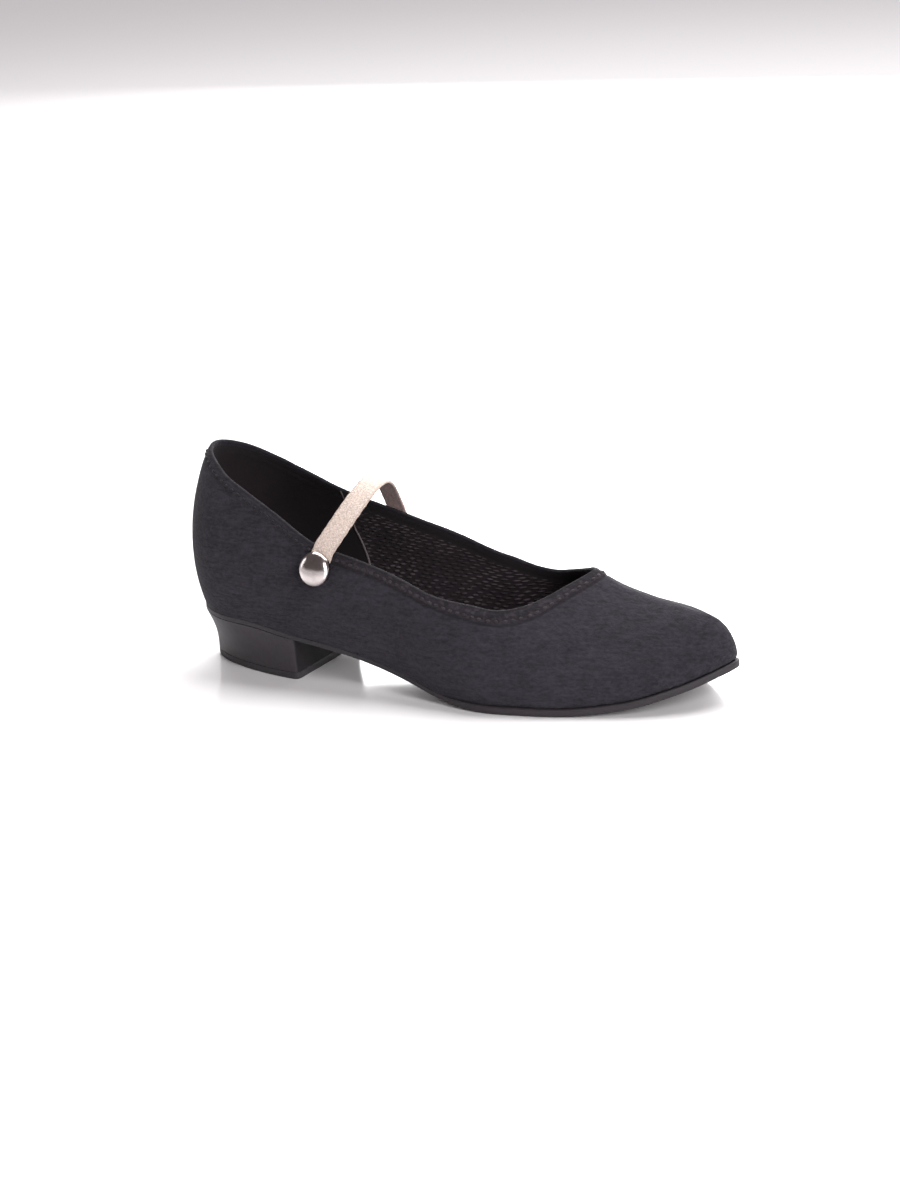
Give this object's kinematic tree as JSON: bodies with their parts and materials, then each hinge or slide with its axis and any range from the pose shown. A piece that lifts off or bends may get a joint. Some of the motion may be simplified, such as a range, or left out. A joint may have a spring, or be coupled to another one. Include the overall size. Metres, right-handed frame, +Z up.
{
  "type": "character shoe",
  "caption": "Low-heeled canvas character shoe with an elastic instep strap, a dome snap, a thin shaped sole and a block heel.",
  "frame": {"origin": "middle of the heel's foot, on the floor", "axes": "+X toward the toe, +Z up, -Y toward the outer side of the foot, where the snap is"},
  "size_m": [0.2447, 0.0837, 0.0938],
  "materials": {
    "canvas": "black cotton canvas, matt, fine weave",
    "lining": "black lining, matt",
    "sole": "dark brown-black, edge lightly polished",
    "heel": "black, smooth, low sheen",
    "top_piece": "black rubber, matt",
    "elastic": "cream woven elastic, matt",
    "nickel": "polished nickel"
  },
  "bodies": {
    "root": {"upper": "canvas", "insole": "lining", "outsole": "sole", "heel_block": "heel", "heel_top_piece": "top_piece", "strap": "elastic", "snap_cap": "nickel"}
  },
  "joints": []
}
